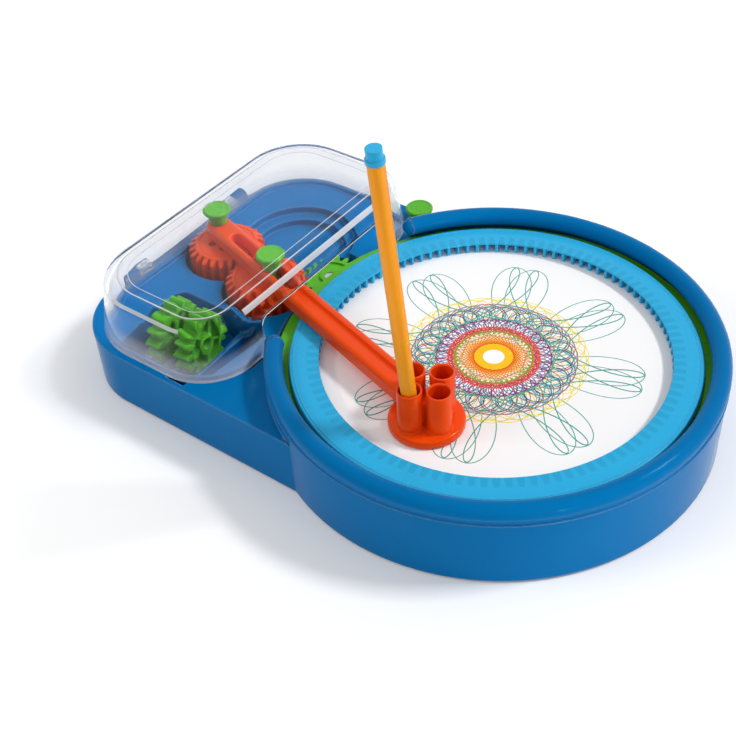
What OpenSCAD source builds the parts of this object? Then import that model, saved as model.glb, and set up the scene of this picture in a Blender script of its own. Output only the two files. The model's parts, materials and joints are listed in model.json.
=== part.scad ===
// Spiral drawing machine. A hand-turned drawing table drives an idler and two equal gears.
// Each of those carries a pin, and the pins lead a slotted arm round a small circle, so the
// pen in the arm's foot draws a rosette. A clear hinged lid covers the gears.
// Everything is drawn about the table's axis and then shifted to the middle of the base.

/* [Table] */
// Radius of the drawing area inside the toothed ring
draw_r = 80; // [74:1:88]
// Radial width of the toothed ring
ring_w = 13.7; // [11:0.1:16]
// Height of the toothed ring
ring_h = 5.3; // [4:0.1:6]
// Teeth on the inside of the ring
ring_teeth = 104; // [60:1:120]
// Depth of the ring's teeth
ring_tooth = 5.6; // [4:0.1:7]
// Thickness of the ring's cover over its teeth
ring_cover = 0.9; // [0.6:0.1:1.5]
// Bevel round the ring's outer edge
ring_bevel = 0.8; // [0.3:0.1:1.2]
// Bevel round the ring's inner edge
ring_ease = 0.2; // [0.1:0.05:0.4]
// Gap between the paper's edge and the ring's outer edge
paper_in = 0.7; // [0.4:0.1:1.5]
// Thickness of the paper
paper_t = 0.3; // [0.1:0.1:0.5]
// Thickness of the turntable's plate
table_t = 2; // [1.6:0.1:3]
// Width of the turntable's raised rim outside the ring
table_rim_w = 6.5; // [5:0.1:8]
// Height of that raised rim
table_rim_h = 1.2; // [0.6:0.1:2]
// Radius of the turntable's hub
hub_r = 12; // [10:0.5:16]
// Ribs under the turntable
table_ribs = 8; // [4:1:12]
// Radius of the spindle
spindle_r = 4; // [3:0.1:5]

/* [Bowl] */
// Gap between the turntable's edge and the bowl's wall
bowl_gap = 2.1; // [1.5:0.1:4]
// Thickness of the bowl's wall
bowl_wall = 1.8; // [1.5:0.1:2.6]
// Radius of the rolled bead on the bowl's edge
bead_r = 4.4; // [3.5:0.1:5]
// How far the bead stands out over the wall
bead_over = 0.6; // [0.2:0.1:1.2]
// Height of the bead's top over the paper
bowl_rise = 12.5; // [11.5:0.1:15]
// Half the angle where the bowl's edge is cut away for the arm
gate_half = 33; // [31:1:38]

/* [Housing] */
// Height of the deck over the floor
deck_h = 30; // [28:0.5:36]
// Thickness of the housing's walls and floors
wall = 2.4; // [1.8:0.1:3]
// Distance from the table's axis to the near side
near_w = 95; // [92:1:100]
// Distance from the table's axis to the far side
far_w = 80; // [77:1:90]
// Room behind the rear gear's pocket
rear_room = 10; // [9:0.5:16]
// Radius of the housing's rear corners
corner_r = 40; // [32:1:45]
// Height of the lip inside the lid
lip_h = 2.2; // [1:0.1:3]
// Thickness of the lip
lip_t = 1.6; // [1:0.1:2.5]
// Distance from the lid's front to the tray
tray_in = 14.4; // [13:0.1:16]
// Length of the tray for spare gears
tray_l = 53; // [48:1:58]
// Distance from the near side to the tray
tray_side = 11; // [9:0.5:16]
// Depth of the tray under the deck
tray_d = 14; // [8:0.5:18]
// Height of the ribs in the tray
tray_rib_h = 6; // [3:0.5:9]
// Radius of the empty stepped pocket
round_r = 29; // [24:0.5:31]
// Width of that pocket's step
round_step = 6; // [3:0.5:9]
// Depth of each step of that pocket
round_d = 4; // [2:0.5:4.5]
// Height of the base over the floor, on its pads
pad_lift = 1; // [0.5:0.1:2]
// Radius of the rubber pads
pad_r = 7; // [5:0.5:9]
// Depth of the pads' seats
pad_seat = 1.2; // [0.6:0.1:1.6]
// Radius of a screw's shank
screw_r = 1.45; // [1.2:0.05:1.8]
// Radius of a screw's head
screw_head_r = 3; // [2.5:0.1:3.5]
// Length of a base screw under its head
screw_l = 11; // [9:0.5:14]
// Radius of a screw boss
boss_r = 4; // [3.5:0.1:5]

/* [Gears] */
// Gear module
gear_module = 1.5; // [1.4:0.05:1.6]
// Distance of the turntable's pitch circle outside the drawing area
table_pitch_out = 10; // [8:0.5:11]
// Idler teeth
idler_teeth = 20; // [18:1:22]
// Teeth of each gear that carries a pin
pin_gear_teeth = 24; // [22:1:26]
// Teeth of a spare gear
spare_teeth = 16; // [14:1:17]
// Width of the meshing teeth
gear_face = 6.2; // [5:0.1:7]
// Depth of the gears' bottom face under the deck
gear_sink = 7.5; // [7.5:0.1:9]
// Height of a pin gear's top over the deck
gear_rise = 8; // [6:0.1:9]
// Width of a spare gear
spare_w = 8.5; // [7:0.5:10]
// Distance from the tray's front end to the first spare gear
spare_in = 20.5; // [18:0.5:22]
// Distance between the spare gears
spare_pitch = 16.7; // [15:0.1:18]
// Play between meshing teeth
backlash = 0.2; // [0.1:0.05:0.3]
// Radius of the gears' axles
axle_r = 2.5; // [2:0.1:3]
// Room round a gear in its pocket
pocket_gap = 2.5; // [2:0.1:4]
// Direction from the table's axis to the idler
idler_dir = 174; // [170:0.5:178]
// Direction from the idler to the front pin gear
front_dir = 235.3; // [230:0.1:240]

/* [Arm] */
// Direction of the arm from its rear pin
arm_dir = -16.9; // [-20:0.1:-14]
// Distance of each pin from its gear's axis
pin_throw = 7; // [5:0.1:8]
// Angle of the rear pin on its gear, from the arm's direction
pin_phase = 172; // [150:1:190]
// Distance from the rear pin to the middle of the foot
arm_len = 170; // [165:1:174]
// Width of the arm
arm_w = 13; // [11:0.5:15]
// Height of the arm
arm_t = 7.6; // [6:0.1:9]
// Spare length at the near end of the arm's slot
slot_near_spare = 5; // [3:0.5:7]
// Spare length at the far end of the arm's slot
slot_far_spare = 14; // [6:0.5:20]
// Depth of the groove along the arm's top
groove_d = 1.4; // [0.6:0.1:2.5]
// Width of that groove
groove_w = 4.6; // [3:0.1:6]
// Distance from the slot's end to the groove
groove_in = 4; // [2:0.5:8]
// Distance from the groove's end to the cups
groove_out = 12; // [8:0.5:16]
// Length of the leg between the arm and its foot
leg_l = 9; // [5:0.5:12]
// How far the leg stands in from the arm's sides
leg_in = 2; // [1:0.1:3]
// Radius of the foot
foot_r = 17; // [15:0.5:18]
// Thickness of the foot
foot_t = 4; // [3:0.1:4.5]
// Radius of the circle of pen cups
cup_ring = 8.9; // [8.4:0.1:9.2]
// Bore radius of a pen cup
cup_bore = 4.6; // [4.4:0.05:4.8]
// Wall of a pen cup
cup_wall = 0.9; // [0.7:0.1:1.2]
// Height of the cups over the arm's top
cup_rise = 11; // [8:0.5:13]
// Radius of a pin's head
head_r = 7.1; // [5.5:0.1:8]
// Thickness of a pin's head
head_t = 2.2; // [1.6:0.1:3]
// Length of the tapered neck under a pin's head
neck_l = 5.9; // [4:0.1:7]
// Radius of a pin where the arm turns on it
shank_r = 3; // [2.6:0.1:3.4]
// Radius of a pin's tip in its gear
tip_r = 2; // [1.6:0.1:2.4]
// Length of a pin's tip
tip_l = 6; // [5:0.1:7]

/* [Pen] */
// Length of the pen
pen_l = 147; // [135:1:165]
// Radius of the pen's hexagonal barrel over its corners
pen_r = 3.8; // [3.5:0.05:3.85]
// Lean of the pen in its cup
pen_lean = 5.2; // [4:0.1:5.4]
// Direction of the lean
pen_lean_dir = -106; // [-120:1:-80]
// Length of the pen's nose
pen_nose_l = 13; // [12:0.5:16]
// Length of the pen's tip
pen_tip_l = 3; // [2:0.1:4]
// Radius of the pen's tip
pen_tip_r = 0.7; // [0.5:0.1:1]
// Length of the plug in the pen's end
plug_l = 6; // [5:0.5:9]

/* [Lid] */
// Distance of the lid's front from the bowl's inner wall, over the table
lid_front_in = 12; // [11:0.1:13]
// Space from the housing's side to the lid
lid_side = 3.3; // [3:0.1:5]
// Thickness of the lid
lid_t = 2; // [1.5:0.1:2.5]
// Room over the pins' heads
lid_room = 2.5; // [1.5:0.1:5]
// Slope of the lid's walls, as the inset at their top
lid_draft = 4; // [2:0.1:6]
// Rounding of the lid's upper edge
lid_edge = 6; // [4:0.1:8]
// Radius of the lid's rear corners
lid_rear_r = 36; // [30:1:38]
// Radius of the lid's front corners
lid_front_r = 28; // [24:1:30]
// Near end of the opening for the arm
gate_near = 52; // [48:0.5:56]
// Far end of the opening for the arm
gate_far = 47; // [46:0.5:50]
// Room over the arm in that opening
gate_room = 2; // [1:0.1:4]
// Corner radius of that opening
gate_r = 5; // [3:0.5:5]
// Radius of a hinge knuckle
knuckle_r = 3; // [2.6:0.1:3.4]
// Width of a hinge knuckle
knuckle_w = 8; // [6:0.5:10]
// Distance of each hinge from the lid's middle
hinge_off = 33.5; // [28:0.5:40]
// Radius of the hinge pins
hinge_pin_r = 1.5; // [1.2:0.05:1.6]
// Length of the lid's snap tongues under the deck
tongue_d = 3.5; // [2.5:0.1:4.5]
// Width of the snap tongues
tongue_w = 9; // [6:0.5:12]

/* [Clearances] */
// Radial clearance of a shaft that turns in a bore
run_gap = 0.05; // [0.03:0.01:0.08]
// Clearance of a pin that slides in a slot or socket
slide_gap = 0.1; // [0.06:0.01:0.15]
// Gap between pieces that pass each other
part_gap = 0.3; // [0.2:0.05:0.5]
// Gap round pieces that are fixed in their seats
seat_gap = 0.02; // [0.01:0.01:0.05]

/* [Hidden] */
$fn = 96;
eps = 0.01;
// How far a cutting tool reaches past what it cuts
over = 1;

BLUE = [0.02, 0.42, 0.70];
SKY = [0.22, 0.69, 0.87];
GREEN = [0.37, 0.70, 0.20];
ORANGE = [0.92, 0.30, 0.07];
AMBER = [0.97, 0.60, 0.14];
STEEL = [0.75, 0.76, 0.78];

// Radii about the table's axis
ring_r = draw_r + ring_w;
table_r = ring_r + part_gap + table_rim_w;
bowl_in = table_r + bowl_gap;
bowl_out = bowl_in + bowl_wall;
base_r = bowl_out + bead_over;
bead_c = base_r - bead_r;

// Heights
table_z = deck_h;
paper_z = table_z + table_t;
ring_z = paper_z + paper_t;
ring_top = ring_z + ring_h;
bead_z = paper_z + bowl_rise - bead_r;
gear_z = deck_h - gear_sink;
gear_top = deck_h + gear_rise;
foot_z = ring_z + part_gap;
arm_gap = 0.4;
arm_z = max(ring_top, gear_top) + arm_gap;
arm_top = arm_z + arm_t;
collar_z = arm_top + arm_gap;
pin_top = collar_z + neck_l + head_t;
lid_z = deck_h + part_gap;
lid_top = pin_top + lid_room + lid_t;
plate_z = pad_lift;
plate_top = plate_z + wall;
gear_floor_gap = 2;
gear_floor = gear_z - gear_floor_gap;

// Pitch radii, and gear centres found along the train from the table's axis
table_teeth = 2 * round((draw_r + table_pitch_out) / gear_module);
function pitch_r(teeth) = teeth * gear_module / 2;
function tip_circle(teeth) = pitch_r(teeth) + gear_module;
function polar(r, a) = [r * cos(a), r * sin(a)];
pair_dist = 2 * pitch_r(pin_gear_teeth);
idler_c = polar(pitch_r(table_teeth) + pitch_r(idler_teeth), idler_dir);
front_c = idler_c + polar(pitch_r(idler_teeth) + pitch_r(pin_gear_teeth), front_dir);
rear_c = front_c - polar(pair_dist, arm_dir);
rear_pin_c = rear_c + polar(pin_throw, arm_dir + pin_phase);
front_pin_c = front_c + polar(pin_throw, arm_dir + 180 - pin_phase);
foot_c = rear_pin_c + polar(arm_len, arm_dir);

// A meshing gear's angle, so that one of its gaps faces the driver's tooth
function mesh_angle(dir, driver_angle, driver_teeth, teeth) =
    dir + 180 + ((dir - driver_angle) * driver_teeth - 180) / teeth;
idler_angle = mesh_angle(idler_dir, 0, table_teeth, idler_teeth);
front_angle = mesh_angle(front_dir, idler_angle, idler_teeth, pin_gear_teeth);
rear_angle = mesh_angle(arm_dir + 180, front_angle, pin_gear_teeth, pin_gear_teeth);

// Housing, lid and tray outlines
pin_pocket_r = tip_circle(pin_gear_teeth) + pocket_gap;
idler_pocket_r = tip_circle(idler_teeth) + pocket_gap;
rear_x = rear_c.x - pin_pocket_r - rear_room;
housing_reach = 62.7;
housing_end = -bowl_in + housing_reach;
housing_front_r = 5;
hinge_gap = 0.6;
lid_gap = 0.8;
lip_gap = 1.4;
table_x = -(rear_x + base_r) / 2;
hinge_x = rear_x + knuckle_r + hinge_gap;
hinge_z = deck_h + knuckle_r + hinge_gap;
lid_x0 = hinge_x + knuckle_r + lid_gap;
lid_x1 = -(bowl_in - lid_front_in);
lid_y0 = -near_w + lid_side;
lid_y1 = far_w - lid_side;
lid_mid = (lid_y0 + lid_y1) / 2;
lip_in = lid_t + lip_gap;
tray_x1 = lid_x1 - tray_in;
tray_x0 = tray_x1 - tray_l;
tray_y0 = -near_w + tray_side;
tray_y1 = front_c.y - pin_pocket_r - wall;
tray_r = 6;
tray_z = deck_h - tray_d;
spare_tip = tip_circle(spare_teeth);
spare_y = (tray_y0 + tray_y1) / 2;
spare_z = tray_z + spare_tip + part_gap;
spare_x = [tray_x1 - spare_in, tray_x1 - spare_in - spare_pitch];
round_off = [-4, 14];
round_c = [(rear_c.x + idler_c.x) / 2 + round_off.x, idler_c.y + round_off.y];
park_in = [1.5, 3.5];
park_c = [lid_x1 - park_in.x, lid_y1 - park_in.y];
park_z = deck_h + arm_gap - collar_z;
tongue_in = 24;
tongue_x = lid_x1 - tongue_in;
hook_in = 9;
hook_y = -gate_near - hook_in;

// Screws and pads: four screws round the bowl, two at the housing's rear and two at its front
boss_sink = 0.9;
bowl_screw_r = bowl_in - boss_r + boss_sink;
bowl_screw_dirs = [-105, -35, 35, 105];
bowl_screws = len(bowl_screw_dirs);
rear_screw_in = [21, 27, 30];
near_screw_in = [1, 10];
far_screw_in = [14, 13];
screws = concat(
    [for (a = bowl_screw_dirs) polar(bowl_screw_r, a)],
    [[rear_x + rear_screw_in[0], -near_w + rear_screw_in[1]],
     [rear_x + rear_screw_in[0], far_w - rear_screw_in[2]],
     [lid_x1 - near_screw_in.x, -near_w + near_screw_in.y],
     [lid_x1 - far_screw_in.x, far_w - far_screw_in.y]]);
pad_dirs = [-50, 50];
rear_pad_in = [28, 30];
rear_pad_side = 42;
pads = concat([for (a = pad_dirs) polar(draw_r, a)],
    [[rear_x + rear_pad_in[0], -near_w + rear_pad_side],
     [rear_x + rear_pad_in[1], far_w - rear_pad_side]]);
screw_head_h = 1.4;
spindle_boss_h = 6;
spindle_seat_h = 1.2;
spindle_seat = plate_top + spindle_seat_h;
washer_t = 1;
washer_w = 5;
washer_z = plate_top + spindle_boss_h;
spindle_drop = 2.5;
spindle_top = table_z - spindle_drop;
spindle_screw_l = 9;
axle_low = 4;
axle_boss = 2;
axle_bore_roof = 2.5;

// Pen: height of the lean's crossing over the arm, and the stubs that join its pieces
pen_cross = 6;
pen_barrel_z = pen_tip_l + pen_nose_l;
pen_wall = 1.2;
stub_r = pen_r - pen_wall;
stub_l = 4.5;
socket_l = 5;

module at_table() {
    translate([table_x, 0, 0]) children();
}

// Rounded rectangle with one radius at its rear corners and one at its front corners
module plan(x0, x1, y0, y1, r0, r1) {
    translate([x0, y0 + r0]) square([r0, y1 - y0 - 2 * r0]);
    translate([x0 + r0, y0]) square([x1 - x0 - r0 - r1, y1 - y0]);
    translate([x1 - r1, y0 + r1]) square([r1, y1 - y0 - 2 * r1]);
    for (y = [y0 + r0, y1 - r0]) translate([x0 + r0, y]) circle(r0);
    for (y = [y0 + r1, y1 - r1]) translate([x1 - r1, y]) circle(r1);
}

// Block with the same plan, sloping walls and a rounded upper edge
module soft_block(x0, x1, y0, y1, r0, r1, z0, z1, slope, edge) {
    corners = [[x0 + r0, y0 + r0, r0], [x0 + r0, y1 - r0, r0],
               [x1 - r1, y0 + r1, r1], [x1 - r1, y1 - r1, r1]];
    hull() for (c = corners) {
        translate([c.x, c.y, z0]) cylinder(r = c.z, h = eps, $fn = 48);
        for (a = [0:22.5:90])
            translate([c.x, c.y, z1 - edge + edge * sin(a) - eps])
                cylinder(r = c.z - slope - edge * (1 - cos(a)), h = eps, $fn = 48);
    }
}

// Involute spur gear outline with a tooth at the given angle
function involute(a) = tan(a) * 180 / PI - a;
module spur(teeth, angle) {
    r = pitch_r(teeth);
    base = r * cos(20);
    tip = tip_circle(teeth);
    root = r - 1.25 * gear_module;
    half = 90 / teeth - backlash / 4 / r * 180 / PI + involute(20);
    flank = [for (k = [0:3]) let (low = max(base, root)) low + (tip - low) * k / 3];
    side = concat(root < base ? [[root, half]] : [],
        [for (f = flank) [f, half - involute(acos(min(1, base / f)))]]);
    last = len(side) - 1;
    rotate(angle) polygon([for (i = [0:teeth - 1]) each concat(
        [for (k = [0:last]) polar(side[k][0], i * 360 / teeth - side[k][1])],
        [for (k = [last:-1:0]) polar(side[k][0], i * 360 / teeth + side[k][1])])]);
}

module tube(outer, inner, h) {
    difference() {
        cylinder(r = outer, h = h);
        translate([0, 0, -over]) cylinder(r = inner, h = h + 2 * over);
    }
}

// Plan of the inside of the housing and bowl, drawn in from the walls by a gap
module inside(gap) {
    circle(bowl_in - gap);
    housing_plan(wall + gap);
}

// Round pockets of the three gears and the stepped pocket, each made wider by grow
module pocket_cuts(grow, drop) {
    for (c = [rear_c, front_c])
        translate([c.x, c.y, gear_floor - drop]) cylinder(r = pin_pocket_r + grow, h = gear_sink * 2);
    translate([idler_c.x, idler_c.y, gear_floor - drop])
        cylinder(r = idler_pocket_r + grow, h = gear_sink * 2);
    for (k = [1, 2])
        translate([round_c.x, round_c.y, deck_h - k * round_d - drop])
            cylinder(r = round_r - (k - 1) * round_step + grow, h = gear_sink * 2);
}

// Pads that the gears turn on
module gear_pads() {
    for (c = [idler_c, front_c, rear_c]) translate([c.x, c.y, gear_floor - over])
        cylinder(r = axle_r + axle_boss, h = gear_floor_gap - part_gap + over);
}

module tray_plan(grow) {
    plan(tray_x0 - grow, tray_x1 + grow, tray_y0 - grow, tray_y1 + grow, tray_r + grow, tray_r + grow);
}

// Walls and floors of the pockets and the tray, the bosses and the lip, before they are cut out
module inner_walls() {
    under = deck_h - wall / 2;
    foot = plate_top + over;
    table_room = 2;
    lip_stop = [3, 4, 12];
    intersection() {
        pocket_cuts(wall, wall);
        translate([0, 0, foot]) linear_extrude(under - foot) difference() {
            inside(-wall / 2);
            circle(tip_circle(table_teeth) + table_room);
        }
    }
    translate([0, 0, tray_z - wall]) linear_extrude(under - tray_z + wall) tray_plan(wall);
    for (c = [idler_c, front_c, rear_c]) translate([c.x, c.y, gear_floor - wall - axle_low])
        cylinder(r = axle_r + axle_boss, h = wall + axle_low);
    for (k = [0:len(screws) - 1])
        translate([screws[k].x, screws[k].y, plate_top + slide_gap])
            cylinder(r = boss_r, h = (k < bowl_screws ? gear_floor : under) - plate_top - slide_gap);
    translate([park_c.x, park_c.y, park_z + gear_top - tip_l - wall])
        cylinder(r = shank_r + wall, h = under - park_z - gear_top + tip_l + wall);
    difference() {
        translate([0, 0, under]) linear_extrude(deck_h + lip_h - under) difference() {
            lip_plan(lip_in);
            lip_plan(lip_in + lip_t);
        }
        translate([-bowl_out - lip_in - lip_stop[0], -gate_near - lip_stop[1], under - over])
            cube([bowl_out, gate_near + gate_far + lip_stop[1] + lip_stop[2], deck_h]);
    }
}

// Outline of the lid's foot, drawn in by a distance
module lip_plan(in) {
    plan(lid_x0 + in, lid_x1 - in, lid_y0 + in, lid_y1 - in, lid_rear_r - in, lid_front_r - in);
}

module tray_ribs() {
    for (x = spare_x, s = [-1, 1])
        translate([x + s * (spare_w / 2 + part_gap + lip_t / 2) - lip_t / 2, tray_y0 - over, tray_z - over])
            cube([lip_t, tray_y1 - tray_y0 + 2 * over, tray_rib_h + over]);
}

// The bowl's wall and its rolled bead, cut away above the deck where the arm comes in
module bowl_ring() {
    gate_y = 2 * base_r * sin(gate_half);
    gate_x = 2 * base_r * cos(gate_half);
    difference() {
        rotate_extrude() {
            translate([bowl_in, pad_lift]) square([bowl_wall, bead_z - pad_lift]);
            translate([bead_c, bead_z]) circle(bead_r);
        }
        translate([0, 0, deck_h - part_gap]) linear_extrude(deck_h)
            polygon([[0, 0], [-gate_x, gate_y], [-gate_x, -gate_y]]);
        translate([0, 0, pad_lift - over]) linear_extrude(wall + over + part_gap)
            housing_plan(wall);
    }
    for (s = [-1, 1]) rotate(180 + s * gate_half) translate([bead_c, 0, bead_z]) sphere(bead_r - run_gap);
}

module hinge_ears() {
    for (s = [-1, 1]) translate([hinge_x, lid_mid + s * (hinge_off + knuckle_w), 0]) {
        translate([0, knuckle_w / 2, hinge_z]) rotate([90, 0, 0]) cylinder(r = knuckle_r, h = knuckle_w);
        translate([-knuckle_r, -knuckle_w / 2, deck_h - over])
            cube([2 * knuckle_r, knuckle_w, hinge_z - deck_h + over]);
    }
}

module hinge_bores(r) {
    for (s = [-1, 1]) translate([hinge_x, lid_mid + s * (hinge_off + knuckle_w / 2), hinge_z])
        rotate([90, 0, 0]) cylinder(r = r, h = 3 * knuckle_w, center = true);
}

// Slots in the deck for the lid's tongues
module tongue_slots() {
    slot = tongue_w + 2 * over;
    side_t = lid_t + lid_gap;
    low = deck_h - tongue_d - over;
    for (y = [lid_y0 + lid_t / 2, lid_y1 - lid_t / 2])
        translate([tongue_x - slot / 2, y - side_t / 2, low]) cube([slot, side_t, deck_h]);
    translate([lid_x1 - lid_t / 2 - side_t / 2, hook_y - slot / 2, low]) cube([side_t, slot, deck_h]);
}

// Plan of the housing, drawn in by a distance
module housing_plan(in) {
    plan(rear_x + in, housing_end, -near_w + in, far_w - in, corner_r - in, housing_front_r);
}

module base_shell() color(BLUE) at_table() difference() {
    union() {
        difference() {
            translate([0, 0, pad_lift]) linear_extrude(deck_h - pad_lift) housing_plan(0);
            translate([0, 0, pad_lift - over]) linear_extrude(deck_h - wall - pad_lift + over) {
                housing_plan(wall);
                translate([over, 0]) housing_plan(wall);
            }
            translate([0, 0, pad_lift - over]) cylinder(r = bowl_in + bowl_wall / 2, h = deck_h + over);
        }
        bowl_ring();
        inner_walls();
        hinge_ears();
    }
    difference() {
        pocket_cuts(0, 0);
        gear_pads();
    }
    difference() {
        translate([0, 0, tray_z]) linear_extrude(deck_h) tray_plan(0);
        tray_ribs();
    }
    for (c = [idler_c, front_c, rear_c]) translate([c.x, c.y, gear_floor - wall - axle_low - over])
        cylinder(r = axle_r + seat_gap, h = deck_h);
    for (s = screws) translate([s.x, s.y, plate_top - over])
        cylinder(r = screw_r + run_gap, h = screw_l + 2 * over);
    translate([park_c.x, park_c.y, park_z + gear_top]) cylinder(r = shank_r + slide_gap, h = deck_h);
    translate([park_c.x, park_c.y, park_z + gear_top - tip_l - part_gap])
        cylinder(r = tip_r + slide_gap, h = deck_h);
    hinge_bores(hinge_pin_r + seat_gap);
    tongue_slots();
}

// Hole for a base screw and its sunk head
module screw_hole() {
    cylinder(r = screw_r + slide_gap, h = deck_h);
    cylinder(r = screw_head_r + part_gap, h = screw_head_h + over + slide_gap);
}

module base_plate() color(BLUE) at_table() difference() {
    spindle_boss = 6;
    union() {
        translate([0, 0, plate_z]) linear_extrude(wall) inside(part_gap);
        translate([0, 0, plate_z]) cylinder(r = spindle_r + spindle_boss, h = wall + spindle_boss_h);
    }
    translate([0, 0, spindle_seat]) cylinder(r = spindle_r + seat_gap, h = deck_h);
    translate([0, 0, plate_z - over]) screw_hole();
    for (s = screws) translate([s.x, s.y, plate_z - over]) screw_hole();
    for (p = pads) translate([p.x, p.y, plate_z - over]) cylinder(r = pad_r + slide_gap, h = pad_seat + over);
}

// Pan head screw pointing up, with a cross slot
module screw(l) {
    slot_l = 1.2 * screw_head_r;
    slot_w = 0.8;
    slot_d = 0.7;
    difference() {
        cylinder(r = screw_head_r, h = screw_head_h);
        for (a = [0, 90]) rotate(a) translate([-slot_l / 2, -slot_w / 2, -over])
            cube([slot_l, slot_w, slot_d + over]);
    }
    translate([0, 0, screw_head_h - eps]) cylinder(r = screw_r, h = l + eps);
}

module base_screws() color(STEEL) at_table()
    for (s = screws) translate([s.x, s.y, plate_z + slide_gap]) screw(screw_l);

module rubber_pads() color([0.1, 0.1, 0.11]) at_table()
    for (p = pads) translate([p.x, p.y, 0]) cylinder(r = pad_r, h = pad_lift + pad_seat);

module spindle() color(STEEL) at_table() difference() {
    translate([0, 0, spindle_seat]) cylinder(r = spindle_r, h = spindle_top - spindle_seat);
    translate([0, 0, spindle_seat - over]) cylinder(r = screw_r + run_gap, h = spindle_screw_l + over);
}

module spindle_screw() color(STEEL) at_table()
    translate([0, 0, plate_z + slide_gap]) screw(spindle_screw_l);

module thrust_washer() color([0.9, 0.9, 0.86]) at_table()
    translate([0, 0, washer_z]) tube(spindle_r + washer_w, spindle_r + slide_gap, washer_t);

module turntable() color(GREEN) at_table() {
    hub_z = washer_z + washer_t + run_gap;
    rim_w = 6;
    rim_in = pitch_r(table_teeth) - rim_w;
    teeth_drop = 0.5;
    teeth_z = gear_z - teeth_drop;
    sunk = table_z + table_t / 2;
    rib_sink = 0.4;
    rib_t = 2;
    bore_room = 0.5;
    difference() {
        union() {
            rotate_extrude() polygon([[0, hub_z], [hub_r, hub_z], [hub_r, table_z], [table_r, table_z],
                [table_r, paper_z + table_rim_h], [ring_r + part_gap, paper_z + table_rim_h],
                [ring_r + part_gap, paper_z], [0, paper_z]]);
            translate([0, 0, teeth_z]) linear_extrude(sunk - teeth_z) difference() {
                spur(table_teeth, 0);
                circle(rim_in);
            }
            for (k = [0:table_ribs - 1]) rotate(k * 360 / table_ribs)
                translate([hub_r - over, -rib_t / 2, gear_z])
                    cube([rim_in - hub_r + 2 * over, rib_t, sunk - gear_z - rib_sink]);
        }
        translate([0, 0, hub_z - over])
            cylinder(r = spindle_r + run_gap, h = spindle_top - hub_z + over + bore_room);
    }
}

module paper_sheet() color("white") at_table()
    translate([0, 0, paper_z]) cylinder(r = ring_r - paper_in, h = paper_t);

// Ring with tapered teeth round its inside, under a thin cover
module drawing_ring() color(SKY) at_table() translate([0, 0, ring_z]) {
    pitch = 360 / ring_teeth;
    root = draw_r + ring_tooth;
    tip_half = 0.14;
    root_half = 0.22;
    cover_z = ring_h - ring_cover;
    linear_extrude(cover_z) difference() {
        circle(ring_r);
        polygon([for (i = [0:ring_teeth - 1]) each [
            polar(draw_r, (i - tip_half) * pitch), polar(draw_r, (i + tip_half) * pitch),
            polar(root, (i + 0.5 - root_half) * pitch), polar(root, (i + 0.5 + root_half) * pitch)]]);
    }
    rotate_extrude() polygon([[draw_r, cover_z], [ring_r, cover_z], [ring_r, ring_h - ring_bevel],
        [ring_r - ring_bevel, ring_h], [draw_r + ring_ease, ring_h], [draw_r, ring_h - ring_ease]]);
}

module idler_gear() color(GREEN) at_table() translate([idler_c.x, idler_c.y, gear_z]) difference() {
    web_d = 1.2;
    rim_w = 4;
    hub_w = 2.4;
    linear_extrude(gear_face) spur(idler_teeth, idler_angle);
    translate([0, 0, gear_face - web_d]) tube(pitch_r(idler_teeth) - rim_w, axle_r + hub_w, gear_face);
    translate([0, 0, -over]) cylinder(r = axle_r + run_gap, h = gear_face + 2 * over);
}

// Gear that carries a pin: tall teeth, sloping off at the top, round a flat grooved face with pin holes
module pin_gear(angle, pin_angle) {
    tip = tip_circle(pin_gear_teeth);
    root = pitch_r(pin_gear_teeth) - 1.25 * gear_module;
    face_r = root - 0.6;
    slope_d = 2.4;
    groove_in = 1.2;
    groove_w = 0.6;
    groove_d = 0.4;
    hole_room = 0.4;
    spare_in = 1.5;
    holes = [[pin_throw, 0], [pin_throw, 72], [pin_throw - spare_in, 144]];
    difference() {
        intersection() {
            translate([0, 0, gear_z]) linear_extrude(gear_top - gear_z) spur(pin_gear_teeth, angle);
            rotate_extrude() polygon([[0, gear_z - over], [tip + over, gear_z - over],
                [tip + over, gear_top - slope_d], [tip, gear_top - slope_d], [face_r, gear_top],
                [face_r - groove_in, gear_top], [face_r - groove_in, gear_top - groove_d],
                [face_r - groove_in - groove_w, gear_top - groove_d],
                [face_r - groove_in - groove_w, gear_top], [0, gear_top]]);
        }
        translate([0, 0, gear_z - over])
            cylinder(r = axle_r + run_gap, h = gear_top - axle_bore_roof - gear_z + over);
        for (h = holes) rotate(pin_angle + h[1]) translate([h[0], 0, gear_top - tip_l - hole_room])
            cylinder(r = tip_r + seat_gap, h = tip_l + 2 * over);
    }
}

module front_gear() color(ORANGE) at_table() translate([front_c.x, front_c.y, 0])
    pin_gear(front_angle, arm_dir + 180 - pin_phase);

module rear_gear() color(ORANGE) at_table() translate([rear_c.x, rear_c.y, 0])
    pin_gear(rear_angle, arm_dir + pin_phase);

module axle(c, top) {
    low = gear_floor - wall - axle_low;
    translate([c.x, c.y, low]) cylinder(r = axle_r, h = top - low);
}

module idler_axle() color(STEEL) at_table() axle(idler_c, gear_z + gear_face - arm_gap);

module front_gear_axle() color(STEEL) at_table() axle(front_c, gear_top - axle_bore_roof - arm_gap);

module rear_gear_axle() color(STEEL) at_table() axle(rear_c, gear_top - axle_bore_roof - arm_gap);

// Places of the pen cups round the foot
module at_cups() {
    for (k = [0:3]) rotate(k * 90) translate([cup_ring, 0, 0]) children();
}

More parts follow.
